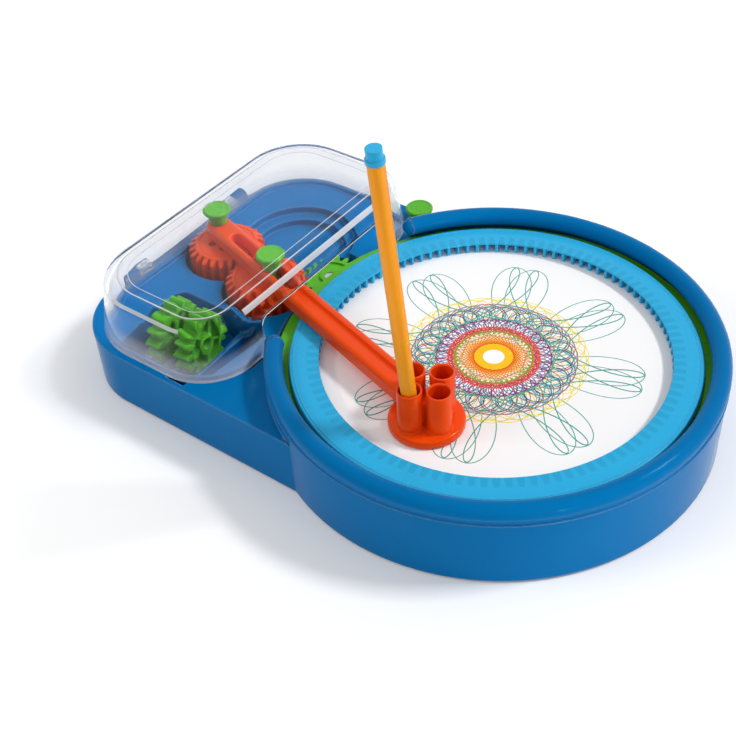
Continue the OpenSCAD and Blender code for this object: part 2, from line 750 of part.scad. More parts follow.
module drawing_arm() color(ORANGE) at_table() translate([rear_pin_c.x, rear_pin_c.y, 0]) rotate(arm_dir) {
    slot_w = shank_r + slide_gap;
    slot = [pair_dist - 2 * pin_throw - slot_near_spare, pair_dist + 2 * pin_throw + slot_far_spare];
    bar_end = arm_len - cup_ring;
    cup_top = arm_top + cup_rise;
    groove_from = slot[1] + slot_w + groove_in;
    core = 1.2 * cup_ring;
    difference() {
        union() {
            translate([0, 0, arm_z]) linear_extrude(arm_t) {
                circle(arm_w / 2);
                translate([0, -arm_w / 2]) square([bar_end, arm_w]);
            }
            translate([arm_len, 0, foot_z]) {
                cylinder(r = foot_r, h = foot_t);
                at_cups() cylinder(r = cup_bore + cup_wall, h = cup_top - foot_z);
                rotate(45) translate([-core / 2, -core / 2, 0]) cube([core, core, arm_top - foot_z]);
            }
            translate([bar_end - leg_l, -arm_w / 2 + leg_in, foot_z])
                cube([leg_l, arm_w - 2 * leg_in, arm_z - foot_z + over]);
        }
        translate([0, 0, arm_z - over]) cylinder(r = shank_r + run_gap, h = arm_t + 2 * over);
        translate([0, 0, arm_z - over]) linear_extrude(arm_t + 2 * over) {
            translate([slot[0], -slot_w]) square([slot[1] - slot[0], 2 * slot_w]);
            for (x = slot) translate([x, 0]) circle(slot_w);
        }
        translate([groove_from, -groove_w / 2, arm_top - groove_d])
            cube([bar_end - groove_from - groove_out, groove_w, groove_d + over]);
        translate([arm_len, 0, foot_z - over]) at_cups() cylinder(r = cup_bore, h = cup_top);
    }
}

// Pin with a mushroom head and a tapered neck, standing on its gear
module arm_pin() {
    ease = 0.6;
    neck = [1.3, 2.4];
    dish = 0.3;
    rim = 1.3;
    low = gear_top - tip_l;
    head_z = pin_top - head_t;
    rotate_extrude() polygon([[0, low], [tip_r - ease, low], [tip_r, low + ease], [tip_r, gear_top],
        [shank_r, gear_top], [shank_r, collar_z], [shank_r + neck[0], collar_z],
        [shank_r + neck[1], head_z], [head_r - ease, head_z], [head_r, head_z + ease],
        [head_r, pin_top - ease], [head_r - ease, pin_top], [head_r - rim, pin_top],
        [head_r - rim - dish, pin_top - dish], [0, pin_top - dish]]);
}

module rear_arm_pin() color(GREEN) at_table() translate([rear_pin_c.x, rear_pin_c.y, 0]) arm_pin();

module front_arm_pin() color(GREEN) at_table() translate([front_pin_c.x, front_pin_c.y, 0]) arm_pin();

module spare_arm_pin() color(GREEN) at_table() translate([park_c.x, park_c.y, park_z]) arm_pin();

// The pen stands on its tip and leans across its cup
module at_pen() {
    cup_c = foot_c + polar(cup_ring, arm_dir - 90);
    cross = arm_top + pen_cross;
    low = ring_z + run_gap;
    off = polar((low - cross) * tan(pen_lean), pen_lean_dir);
    at_table() translate([cup_c.x + off.x, cup_c.y + off.y, low])
        rotate(pen_lean_dir) rotate([0, pen_lean, 0])
            translate([0, 0, pen_tip_r * tan(pen_lean)]) children();
}

module pen_barrel() color(AMBER) at_pen() difference() {
    top = pen_l - plug_l;
    translate([0, 0, pen_barrel_z]) cylinder(r = pen_r, h = top - pen_barrel_z, $fn = 6);
    translate([0, 0, top - socket_l]) cylinder(r = stub_r + seat_gap, h = socket_l + over);
    translate([0, 0, pen_barrel_z - over]) cylinder(r = stub_r + seat_gap, h = socket_l + over);
}

module pen_nose() color(ORANGE) at_pen() difference() {
    lip = 0.6;
    step = 0.5;
    union() {
        translate([0, 0, pen_tip_l]) cylinder(r1 = pen_tip_r + lip, r2 = pen_r - step, h = pen_nose_l);
        translate([0, 0, pen_barrel_z - eps]) cylinder(r = stub_r, h = stub_l);
    }
    translate([0, 0, pen_tip_l - over]) cylinder(r = pen_tip_r + seat_gap, h = socket_l + over);
}

module pen_tip() color([0.15, 0.15, 0.2]) at_pen() cylinder(r = pen_tip_r, h = pen_tip_l + stub_l);

// Stepped plug with a wide foot in the barrel's end
module pen_end_plug() color(SKY) at_pen() {
    foot_l = 0.3 * plug_l;
    step = 0.6;
    translate([0, 0, pen_l - plug_l - stub_l]) cylinder(r = stub_r, h = stub_l + eps);
    translate([0, 0, pen_l - plug_l]) cylinder(r = pen_r, h = foot_l);
    translate([0, 0, pen_l - plug_l + foot_l - eps]) cylinder(r = pen_r - step, h = plug_l - foot_l);
}

module lid() color([0.8, 0.9, 0.97, 0.35]) at_table() {
    gate_top = arm_top + gate_room;
    gate_w = gate_near + gate_far;
    tab_t = 3.2;
    tongue_h = tongue_d + 3;
    gate_out = 4;
    gate_deep = 20;
    difference() {
        union() {
            difference() {
                soft_block(lid_x0, lid_x1, lid_y0, lid_y1, lid_rear_r, lid_front_r,
                    lid_z, lid_top, lid_draft, lid_edge);
                soft_block(lid_x0 + lid_t, lid_x1 - lid_t, lid_y0 + lid_t, lid_y1 - lid_t,
                    lid_rear_r - lid_t, lid_front_r - lid_t, lid_z - over, lid_top - lid_t,
                    lid_draft, lid_edge);
            }
            for (s = [-1, 1]) translate([hinge_x, lid_mid + s * (hinge_off - part_gap), hinge_z]) {
                translate([0, knuckle_w / 2, 0]) rotate([90, 0, 0]) cylinder(r = knuckle_r, h = knuckle_w);
                translate([0, -knuckle_w / 2, -tab_t / 2])
                    cube([lid_x0 - hinge_x + lid_t, knuckle_w, tab_t]);
            }
            for (y = [lid_y0 + lid_t / 2, lid_y1 - lid_t / 2])
                translate([tongue_x - tongue_w / 2, y - lid_t / 2, deck_h - tongue_d])
                    cube([tongue_w, lid_t, tongue_h]);
            translate([lid_x1 - lid_t, hook_y - tongue_w / 2, deck_h - tongue_d])
                cube([lid_t, tongue_w, tongue_h]);
        }
        translate([lid_x1 + gate_out, 0, 0]) rotate([0, -90, 0]) linear_extrude(gate_deep) {
            translate([deck_h - over, -gate_near]) square([gate_top - gate_r - deck_h + over, gate_w]);
            translate([deck_h, -gate_near + gate_r]) square([gate_top - deck_h, gate_w - 2 * gate_r]);
            for (y = [-gate_near + gate_r, gate_far - gate_r])
                translate([gate_top - gate_r, y]) circle(gate_r);
        }
        hinge_bores(hinge_pin_r + run_gap);
    }
}

module lid_hinge_pins() color(STEEL) at_table()
    for (s = [-1, 1]) translate([hinge_x, lid_mid + s * (hinge_off + knuckle_w / 2), hinge_z])
        rotate([90, 0, 0]) cylinder(r = hinge_pin_r, h = 2 * knuckle_w - over, center = true);

// Spare gear standing on its edge, axis along X, with a hub, a thin web and spokes
module spare_gear(x) at_table() translate([x, spare_y, spare_z]) rotate([0, 90, 0]) {
    rim_w = 3.4;
    hub_w = 2.2;
    rim = pitch_r(spare_teeth) - rim_w;
    hub = axle_r + hub_w;
    web_d = 0.35 * spare_w;
    spoke = [rim - hub + 2 * over, 2, 0.8 * spare_w];
    spokes = 5;
    difference() {
        union() {
            difference() {
                linear_extrude(spare_w, center = true) spur(spare_teeth, 0);
                for (s = [-1, 1]) translate([0, 0, s * spare_w / 2 - web_d]) tube(rim, hub, 2 * web_d);
            }
            for (k = [0:spokes - 1]) rotate(k * 360 / spokes)
                translate([hub - over, -spoke.y / 2, -spoke.z / 2]) cube(spoke);
        }
        cylinder(r = axle_r + run_gap, h = 2 * spare_w, center = true);
    }
}

module spare_gear_a() color(GREEN) spare_gear(spare_x[0]);

module spare_gear_b() color(GREEN) spare_gear(spare_x[1]);

base_shell();
base_plate();
base_screws();
rubber_pads();
spindle();
spindle_screw();
thrust_washer();
turntable();
paper_sheet();
drawing_ring();
idler_gear();
idler_axle();
front_gear();
front_gear_axle();
rear_gear();
rear_gear_axle();
drawing_arm();
rear_arm_pin();
front_arm_pin();
spare_arm_pin();
pen_barrel();
pen_nose();
pen_tip();
pen_end_plug();
lid();
lid_hinge_pins();
spare_gear_a();
spare_gear_b();
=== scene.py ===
"""Looks of a spiral drawing machine: moulded plastics, a clear lid, a drawn sheet, and a white studio."""

import json
import math

import bmesh
import bpy
from mathutils import Matrix, Vector


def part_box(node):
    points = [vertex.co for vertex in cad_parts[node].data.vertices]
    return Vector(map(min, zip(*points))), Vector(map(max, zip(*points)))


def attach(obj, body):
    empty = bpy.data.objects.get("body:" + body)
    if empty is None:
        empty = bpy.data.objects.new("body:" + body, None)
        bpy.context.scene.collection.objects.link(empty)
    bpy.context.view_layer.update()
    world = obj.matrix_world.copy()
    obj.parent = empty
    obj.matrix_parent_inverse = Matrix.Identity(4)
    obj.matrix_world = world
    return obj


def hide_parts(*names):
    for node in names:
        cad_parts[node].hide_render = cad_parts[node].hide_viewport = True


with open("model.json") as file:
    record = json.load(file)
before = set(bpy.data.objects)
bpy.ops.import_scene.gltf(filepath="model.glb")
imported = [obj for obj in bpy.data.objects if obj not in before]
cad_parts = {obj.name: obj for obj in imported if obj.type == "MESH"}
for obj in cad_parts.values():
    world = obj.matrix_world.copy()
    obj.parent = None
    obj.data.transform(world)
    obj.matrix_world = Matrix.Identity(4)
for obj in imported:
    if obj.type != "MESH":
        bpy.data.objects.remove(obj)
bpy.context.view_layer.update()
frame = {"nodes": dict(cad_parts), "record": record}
nodes = frame["nodes"]
MM = 0.001
UP = Vector((0, 0, 1))


def middle(node):
    """Middle of a CAD node's box, in metres."""
    low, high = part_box(node)
    return (low + high) / 2


table_axis = middle("turntable")
paper_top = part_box("paper_sheet")[1].z
WHITE = (1.0, 1.0, 1.0, 1.0)


# Shader helpers

def srgb(red, green, blue):
    """A colour given as screen values from 0 to 255, made linear for the shaders."""
    def linear(value):
        v = value / 255
        return v / 12.92 if v <= 0.04045 else ((v + 0.055) / 1.055) ** 2.4
    return (linear(red), linear(green), linear(blue), 1.0)


def feed(tree, socket, value):
    """Sets a socket to a number or a colour, or links another socket to it."""
    if isinstance(value, (int, float, tuple)):
        socket.default_value = value
    else:
        tree.links.new(value, socket)


def math_node(tree, operation, *values):
    """One Math node over numbers and sockets."""
    node = tree.nodes.new("ShaderNodeMath")
    node.operation = operation
    for socket, value in zip(node.inputs, values):
        feed(tree, socket, value)
    return node.outputs[0]


# Places of a Mix node's colour sockets
MIX_COLOURS = (6, 7)
MIX_RESULT = 2
EDGE_SAMPLES = 6
EDGE_TURN = 0.75


class Shader:
    """A material with one main shader and short calls for the nodes that feed it."""

    def __init__(self, name, **values):
        self.material = bpy.data.materials.new(name)
        self.material.use_nodes = True
        self.tree = self.material.node_tree
        self.bsdf = self.tree.nodes["Principled BSDF"]
        self.output = self.tree.nodes["Material Output"]
        for key, value in values.items():
            self.bsdf.inputs[key.replace("_", " ")].default_value = value

    def add(self, kind, **settings):
        node = self.tree.nodes.new(kind)
        for key, value in settings.items():
            setattr(node, key, value)
        return node

    def link(self, source, target):
        self.tree.links.new(source, target)

    def drive(self, key, source):
        """Links a source to one of the main shader's inputs."""
        self.link(source, self.bsdf.inputs[key])

    def place(self):
        """Object coordinates, in metres."""
        return self.add("ShaderNodeTexCoord").outputs["Object"]

    def axes(self):
        """Object coordinates as the sockets X, Y and Z."""
        parts = self.add("ShaderNodeSeparateXYZ")
        self.link(self.place(), parts.inputs[0])
        return parts.outputs

    def noise(self, scale, detail=3.0, roughness=0.5):
        """Noise over the object, with scale in features per metre."""
        node = self.add("ShaderNodeTexNoise")
        node.inputs["Scale"].default_value = scale
        node.inputs["Detail"].default_value = detail
        node.inputs["Roughness"].default_value = roughness
        self.link(self.place(), node.inputs["Vector"])
        return node.outputs["Fac"]

    def spread(self, value, low, high, start=0.35, end=0.65):
        """value from start to end, mapped to low to high."""
        node = self.add("ShaderNodeMapRange")
        for key, number in (("From Min", start), ("From Max", end), ("To Min", low), ("To Max", high)):
            node.inputs[key].default_value = number
        self.link(value, node.inputs["Value"])
        return node.outputs["Result"]

    def blend(self, factor, first, second):
        """A colour between two colours, each a colour or a socket."""
        node = self.add("ShaderNodeMix", data_type="RGBA")
        self.link(factor, node.inputs["Factor"])
        for index, colour in zip(MIX_COLOURS, (first, second)):
            feed(self.tree, node.inputs[index], colour)
        return node.outputs[MIX_RESULT]

    def bump(self, height, distance, strength, base=None):
        """Fine relief on top of a base normal, with distance in metres."""
        node = self.add("ShaderNodeBump")
        node.inputs["Strength"].default_value = strength
        node.inputs["Distance"].default_value = distance
        self.link(height, node.inputs["Height"])
        if base:
            self.link(base, node.inputs["Normal"])
        self.drive("Normal", node.outputs["Normal"])

    def math(self, operation, *values):
        """One Math node over numbers and sockets."""
        return math_node(self.tree, operation, *values)

    def rounded_edges(self, radius):
        """The normal with sharp edges rounded off, and how far it turns there, from 0 to about 1."""
        edge = self.add("ShaderNodeBevel", samples=EDGE_SAMPLES)
        edge.inputs["Radius"].default_value = radius
        turn = self.add("ShaderNodeVectorMath", operation="DOT_PRODUCT")
        self.link(edge.outputs["Normal"], turn.inputs[0])
        self.link(self.add("ShaderNodeNewGeometry").outputs["Normal"], turn.inputs[1])
        return edge.outputs["Normal"], self.spread(turn.outputs["Value"], 1.0, 0.0, EDGE_TURN, 1.0)


def pale_of(colour):
    """The colour with some white in it."""
    return tuple(0.6 * part + 0.4 for part in colour[:3]) + (1.0,)


def gloss_of(colour):
    """The tint of the plastic's gloss, between its own colour and white."""
    return tuple(0.12 + 0.88 * math.sqrt(part) for part in colour[:3]) + (1.0,)


def shade_of(colour, factor):
    """The same colour, darker or lighter."""
    return tuple(min(1.0, part * factor) for part in colour[:3]) + (1.0,)


PLASTIC_IOR = 1.5
CLOUD_SCALE = 22.0
SCUFF_SCALE = 260.0
GRAIN_SCALE = 2600.0
# How dark the painted shade over the drawing ring's tooth gaps is
GAP_PAINTED_SHADE = 0.72


def plastic(name, colour, rough=(0.24, 0.36), grain=0.003, shine=0.35, drift=0.05, edge=0.5,
            wear_and_highlight=(0.05, 0.3), painted_gap_shade=None):
    """Moulded plastic, with grain and edge radius in millimetres.

    Its edges are softly rounded and paler along the turn, partly wear and partly a painted highlight line.
    Flow clouds, scuffs and a fine grain vary the rest.
    """
    made = Shader(name, Specular_IOR_Level=shine, IOR=PLASTIC_IOR, Specular_Tint=gloss_of(colour))
    normal, edge_wear_and_highlight = made.rounded_edges(edge * MM)
    clouds = made.noise(CLOUD_SCALE, 2.0)
    tint = made.blend(clouds, shade_of(colour, 1 - drift), shade_of(colour, 1 + drift))
    if painted_gap_shade:
        # painted shade: the colour is darker over the ring's tooth gaps seen through its cover
        tint = made.blend(painted_gap_shade(made), tint, shade_of(colour, GAP_PAINTED_SHADE))
    scuffs = made.noise(SCUFF_SCALE, 6.0, 0.7)
    # painted highlight: the colour goes towards white along the rounded edges, partly as wear and partly as a
    # painted highlight line
    paler_wear_and_highlight = made.math("MULTIPLY", edge_wear_and_highlight, made.spread(scuffs, *wear_and_highlight))
    made.drive("Base Color", made.blend(paler_wear_and_highlight, tint, pale_of(colour)))
    made.drive("Roughness", made.spread(scuffs, *rough))
    made.bump(made.noise(GRAIN_SCALE, 2.0), grain * MM, 0.5, normal)
    return made.material


RING_TEETH = 104
DRAW_R = 80 * MM
RING_TOOTH = 5.6 * MM
# Half a gap's share of a tooth pitch, at the tooth's tip and at its root
GAP_HALF = (0.36, 0.22)
GAP_SOFT = 0.04
GAP_END_SOFT = 0.1 * MM
GAP_STRENGTH = 0.5


def ring_gap_painted_shade(made):
    """Painted shade of the ring's tooth gaps seen through its thin cover: GAP_STRENGTH over a gap, 0 over a
    tooth.
    """
    axes = made.axes()
    x = made.math("SUBTRACT", axes["X"], table_axis.x)
    y = made.math("SUBTRACT", axes["Y"], table_axis.y)
    radius = made.math("SQRT", made.math("ADD", made.math("MULTIPLY", x, x), made.math("MULTIPLY", y, y)))
    turns = made.math("MULTIPLY", made.math("ARCTAN2", y, x), RING_TEETH / (2 * math.pi))
    off = made.math("ABSOLUTE", made.math("SUBTRACT", made.math("FRACT", turns), 0.5))
    gap_end = DRAW_R + RING_TOOTH
    half = made.spread(radius, GAP_HALF[0], GAP_HALF[1], DRAW_R, gap_end)
    gap = made.spread(made.math("SUBTRACT", half, off), 0.0, 1.0, -GAP_SOFT, GAP_SOFT)
    inner = made.spread(radius, 1.0, 0.0, gap_end - GAP_END_SOFT, gap_end + GAP_END_SOFT)
    return made.math("MULTIPLY", made.math("MULTIPLY", gap, inner), GAP_STRENGTH)


CLEAR_IOR = 1.4
LID_TINT = (0.95, 0.955, 0.965, 1.0)
LID_GLOSS = (0.1, 0.11, 0.13, 1.0)
LID_LAMP_TINT = (0.87, 0.885, 0.91, 1.0)
LID_DEPTH_TINT = (0.55, 0.6, 0.7, 1.0)
LID_DENSITY = 32.0
# The lid is less clear at its foot, a whitish painted reflection on its lower walls, and clear from the upper
# height on
PAINTED_VEIL_FROM = 33 * MM
CLEAR_FROM = 43 * MM
PAINTED_VEIL_CLEARNESS = 0.75


def clear_plastic(name):
    """Clear moulded plastic that lets the lamps through."""
    made = Shader(name, Base_Color=LID_TINT, IOR=CLEAR_IOR, Specular_Tint=LID_GLOSS)
    made.drive("Roughness", made.spread(made.noise(120.0, 4.0), 0.0, 0.03))
    # painted reflection: the lid turns whitish towards its foot
    clearness = made.spread(made.axes()["Z"], PAINTED_VEIL_CLEARNESS, 1.0, PAINTED_VEIL_FROM, CLEAR_FROM)
    made.drive("Transmission Weight", clearness)
    open_to_lamps = made.add("ShaderNodeBsdfTransparent")
    open_to_lamps.inputs["Color"].default_value = LID_LAMP_TINT
    mix = made.add("ShaderNodeMixShader")
    made.link(made.add("ShaderNodeLightPath").outputs["Is Shadow Ray"], mix.inputs["Fac"])
    made.link(made.bsdf.outputs["BSDF"], mix.inputs[1])
    made.link(open_to_lamps.outputs["BSDF"], mix.inputs[2])
    made.link(mix.outputs["Shader"], made.output.inputs["Surface"])
    depth = made.add("ShaderNodeVolumeAbsorption")
    depth.inputs["Color"].default_value = LID_DEPTH_TINT
    depth.inputs["Density"].default_value = LID_DENSITY
    made.link(depth.outputs["Volume"], made.output.inputs["Volume"])
    return made.material


def frosted_highlight(name):
    """Clear plastic with a fine matt grain, as on moulded ribs; its whitish look paints highlight lines on
    the lid's ribs and bands.
    """
    made = Shader(name, Base_Color=(0.94, 0.95, 0.97, 1.0), IOR=CLEAR_IOR, Transmission_Weight=0.55)
    grain = made.noise(900.0, 3.0)
    made.drive("Roughness", made.spread(grain, 0.3, 0.5))
    made.bump(grain, 0.01 * MM, 0.5)
    return made.material


def paper(name):
    """White drawing paper with fine fibres."""
    made = Shader(name, Specular_IOR_Level=0.2)
    fibres = made.noise(1500.0, 5.0, 0.7)
    made.drive("Base Color", made.blend(fibres, srgb(244, 244, 246), srgb(252, 252, 252)))
    made.drive("Roughness", made.spread(fibres, 0.75, 0.9))
    made.bump(fibres, 0.02 * MM, 0.5)
    return made.material


def ink(name, colour):
    """Felt pen ink, a little uneven along the line."""
    made = Shader(name, Specular_IOR_Level=0.25)
    flow = made.noise(700.0, 3.0)
    made.drive("Base Color", made.blend(flow, shade_of(colour, 0.82), shade_of(colour, 1.12)))
    made.drive("Roughness", made.spread(flow, 0.5, 0.7))
    return made.material


def steel(name):
    """Bright zinc with a fine uneven finish."""
    made = Shader(name, Metallic=1.0)
    brush = made.noise(900.0, 6.0, 0.65)
    made.drive("Base Color", made.blend(brush, srgb(176, 178, 182), srgb(212, 213, 216)))
    made.drive("Roughness", made.spread(brush, 0.22, 0.42))
    made.bump(brush, 0.01 * MM, 0.4)
    return made.material


BLUE = srgb(0, 108, 170)
SKY = srgb(42, 172, 222)
GREEN = srgb(88, 180, 40)
ORANGE = srgb(238, 72, 4)
AMBER = srgb(250, 158, 26)

PLASTICS = {
    # The blue's strong paler edges are mostly a painted highlight line along the housing's edges, with a
    # little wear
    "blue_plastic": dict(colour=BLUE, rough=(0.1, 0.2), shine=0.07, edge=1.2, wear_and_highlight=(0.5, 0.85)),
    "sky_plastic": dict(colour=SKY, rough=(0.2, 0.3)),
    "ring_plastic": dict(colour=SKY, rough=(0.2, 0.3), painted_gap_shade=ring_gap_painted_shade),
    "green_plastic": dict(colour=GREEN),
    "orange_plastic": dict(colour=ORANGE, rough=(0.16, 0.26), shine=0.4, edge=0.6),
    "amber_plastic": dict(colour=AMBER, rough=(0.18, 0.28), shine=0.45, edge=0.3),
    "black_rubber": dict(colour=srgb(30, 30, 32), rough=(0.7, 0.9), grain=0.02, shine=0.2),
    "nylon": dict(colour=srgb(228, 228, 220), rough=(0.4, 0.55), shine=0.3),
    "dark_fibre": dict(colour=srgb(34, 34, 44), rough=(0.75, 0.9), grain=0.02, shine=0.2),
}
FINISH = {name: plastic(name, **settings) for name, settings in PLASTICS.items()}
FINISH["clear_plastic"] = clear_plastic("clear_plastic")
FINISH["frosted_highlight"] = frosted_highlight("frosted_highlight")
FINISH["white_paper"] = paper("white_paper")
FINISH["steel"] = steel("steel")


# Mesh helpers

def new_piece(name, mesh, body, slot, replaces=(), finish=None):
    """A piece that rides on a body, with the finish of its slot unless another one is named."""
    piece = bpy.data.objects.new(name, mesh)
    bpy.context.scene.collection.objects.link(piece)
    mesh.materials.clear()
    mesh.materials.append(FINISH[finish or slot])
    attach(piece, body)
    if replaces:
        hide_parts(*replaces)
    return piece


def mesh_of(name, bm):
    """A mesh made from a bmesh, with its faces turned outwards."""
    bmesh.ops.recalc_face_normals(bm, faces=bm.faces)
    mesh = bpy.data.meshes.new(name)
    bm.to_mesh(mesh)
    bm.free()
    return mesh


def scratch(name, bm):
    """A helper object made from a bmesh."""
    helper = bpy.data.objects.new(name, mesh_of(name, bm))
    bpy.context.scene.collection.objects.link(helper)
    return helper


def drop(*helpers):
    for helper in helpers:
        bpy.data.objects.remove(helper)


def settled(helper):
    """The helper's mesh with its modifiers applied."""
    bpy.context.view_layer.update()
    shown = helper.evaluated_get(bpy.context.evaluated_depsgraph_get())
    return bpy.data.meshes.new_from_object(shown)


def combine(helper, tools, operation):
    """Joins tools to the helper or cuts them from it, and removes them."""
    for tool in tools:
        cut = helper.modifiers.new("combine", "BOOLEAN")
        cut.object = tool
        cut.operation = operation
        cut.solver = "EXACT"
    helper.data = settled(helper)
    helper.modifiers.clear()
    drop(*tools)


def add_bevel(thing, width, segments, limit, clamp):
    """A modifier that rounds the edges that bend more than limit degrees."""
    rim = thing.modifiers.new("round_edges", "BEVEL")
    rim.width = width
    rim.segments = segments
    rim.limit_method = "ANGLE"
    rim.angle_limit = math.radians(limit)
    rim.use_clamp_overlap = clamp


def soften(helper, width, segments, limit):
    """Rounds the helper's edges in its mesh."""
    add_bevel(helper, width, segments, limit, True)
    helper.data = settled(helper)
    helper.modifiers.clear()


def smooth_faces(mesh, crease):
    """Smooth shading with creases at open edges and those that bend by crease degrees or more."""
    bm = bmesh.new()
    bm.from_mesh(mesh)
    for face in bm.faces:
        face.smooth = True
    for edge in bm.edges:
        edge.smooth = len(edge.link_faces) == 2 and edge.calc_face_angle(0) < math.radians(crease)
    bm.to_mesh(mesh)
    bm.free()


def finished(helper, crease):
    """The helper's mesh with smooth shading. The helper itself goes."""
    mesh = helper.data
    smooth_faces(mesh, crease)
    drop(helper)
    return mesh


def bridge(bm, low, high):
    """Faces between two rings with as many points."""
    count = len(low)
    for i in range(count):
        j = (i + 1) % count
        bm.faces.new((low[i], low[j], high[j], high[i]))


def lofted(rings, close_ends=True):
    """A skin through rings of points, closed by end faces or by joining its two ends."""
    bm = bmesh.new()
    made = [[bm.verts.new(point) for point in ring] for ring in rings]
    for low, high in zip(made, made[1:]):
        bridge(bm, low, high)
    if close_ends:
        bm.faces.new(list(reversed(made[0])))
        bm.faces.new(made[-1])
    else:
        bridge(bm, made[-1], made[0])
    return bm


def circle(centre, radius, z, count):
    step = 2 * math.pi / count
    return [Vector((centre.x + radius * math.cos(i * step), centre.y + radius * math.sin(i * step), z))
            for i in range(count)]


def turned(centre, profile, count):
    """A closed turned solid about a vertical axis, from (radius, height) pairs upwards."""
    return lofted([circle(centre, radius, z, count) for radius, z in profile])


def rounding(radius, top, steps):
    """Pairs of inset and height up a rounded upper edge."""
    angles = [math.radians(90 * k / steps) for k in range(steps + 1)]
    return [(radius * (1 - math.cos(a)), top - radius + radius * math.sin(a)) for a in angles]


RIB_SIDE = 0.03 * MM


def rib_section(width, sunk, rise):
    """A low rib's section, as pairs of place aside and height."""
    half = width / 2
    return [(-half, -sunk), (half, -sunk), (half, RIB_SIDE),
            (half / 2, rise), (-half / 2, rise), (-half, RIB_SIDE)]


def rounded_plan(x0, x1, y0, y1, rear, front, steps=12):
    """Outline of a rectangle with one corner radius at its rear and one at its front."""
    corners = [(x1 - front, y1 - front, front, 0), (x0 + rear, y1 - rear, rear, 90),
               (x0 + rear, y0 + rear, rear, 180), (x1 - front, y0 + front, front, 270)]
    outline = []
    for x, y, radius, start in corners:
        for k in range(steps + 1):
            a = math.radians(start + 90 * k / steps)
            outline.append((x + radius * math.cos(a), y + radius * math.sin(a)))
    return outline


def at_height(outline, z):
    return [Vector((x, y, z)) for x, y in outline]


def block(name, low, high):
    """A helper box between two corners."""
    x0, y0, z0 = low
    x1, y1, z1 = high
    outline = [(x0, y0), (x1, y0), (x1, y1), (x0, y1)]
    return scratch(name, lofted([at_height(outline, z0), at_height(outline, z1)]))


# Finish of the CAD nodes

for part in frame["record"]["subparts"]:
    node = nodes[part["node"]]
    node.data.materials.clear()
    node.data.materials.append(FINISH[part["material_slot"]])
nodes["drawing_ring"].data.materials[0] = FINISH["ring_plastic"]

# Edge roundings of CAD nodes, in millimetres
EDGE_ROUNDING = {
    "base_shell": 0.4,
    "base_plate": 0.4,
    "turntable": 0.25,
    "drawing_ring": 0.25,
    "idler_gear": 0.2,
    "front_gear": 0.2,
    "rear_gear": 0.2,
    "spare_gear_a": 0.2,
    "spare_gear_b": 0.2,
    "pen_barrel": 0.25,
}
WELD_GAP = 0.001 * MM
EDGE_SEGMENTS = 3
EDGE_LIMIT = 75


def round_edges(node, width):
    """Rounds a CAD node's sharp edges with modifiers, on its faces joined up first."""
    joined = node.modifiers.new("joined_faces", "WELD")
    joined.merge_threshold = WELD_GAP
    add_bevel(node, width, EDGE_SEGMENTS, EDGE_LIMIT, False)
    even = node.modifiers.new("even_shading", "WEIGHTED_NORMAL")
    even.keep_sharp = False


for name, width in EDGE_ROUNDING.items():
    round_edges(nodes[name], width * MM)


# The drawing on the paper

LINE_HEIGHT = 0.02 * MM
LINE_STEP = 0.011 * MM
STRING_POINTS = 4
INKS = {
    "teal": srgb(70, 165, 152),
    "yellow": srgb(246, 220, 24),
    "gold": srgb(252, 196, 16),
    "navy": srgb(34, 30, 92),
    "crimson": srgb(168, 26, 62),
    "purple": srgb(118, 40, 128),
    "cyan": srgb(70, 176, 206),
    "orange": srgb(226, 74, 34),
    "leaf": srgb(120, 170, 30),
}
for colour, value in INKS.items():
    FINISH["ink_" + colour] = ink("ink_" + colour, value)


def wheel_curve(big, small, turns, loops, points):
    """A circle carried round a larger circle: loops small turns for each set of big turns, in millimetres."""
    curve = []
    for i in range(points):
        t = 2 * math.pi * turns * i / points
        u = t * loops / turns
        curve.append((big * math.cos(t) + small * math.cos(u), big * math.sin(t) + small * math.sin(u)))
    return curve


def star_curve(radius, corners, step):
    """A closed star of straight strings, in millimetres, with points along each string."""
    curve = []
    for i in range(corners):
        a, b = (2 * math.pi * step * k / corners for k in (i, i + 1))
        for k in range(STRING_POINTS):
            s = k / STRING_POINTS
            curve.append((radius * ((1 - s) * math.cos(a) + s * math.cos(b)),
                          radius * ((1 - s) * math.sin(a) + s * math.sin(b))))
    return curve


def turned_curve(curve, angle):
    c, s = math.cos(math.radians(angle)), math.sin(math.radians(angle))
    return [(c * x - s * y, s * x + c * y) for x, y in curve]


def pen_line(name, curve, width, colour, layer):
    """A closed ink line on the paper, with a flat section, each stretch a little over the one before."""
    points = [Vector((x * MM + table_axis.x, y * MM + table_axis.y, 0)) for x, y in curve]
    count = len(points)
    low = UP * (paper_top - LINE_HEIGHT)
    sections = []
    for i, point in enumerate(points):
        along = (points[(i + 1) % count] - points[i - 1]).normalized()
        side = along.cross(UP) * width * MM / 2
        top = UP * (paper_top + LINE_HEIGHT + (layer + i / count) * LINE_STEP)
        sections.append([point - side + low, point + side + low, point + side + top, point - side + top])
    mesh = mesh_of(name, lofted(sections, False))
    line = new_piece(name, mesh, "turntable", "white_paper", finish="ink_" + colour)
    line.visible_shadow = False
    line.visible_diffuse = False


PETAL_SETS = 4
PETAL_POINTS = 420
PETAL_WIDTH = 0.45
# Degrees: the first set's turn, the step to every second set, and the shift of the last two sets
PETAL_TURN = 14
PETAL_STEP = 45
PETAL_SHIFT = 8.5

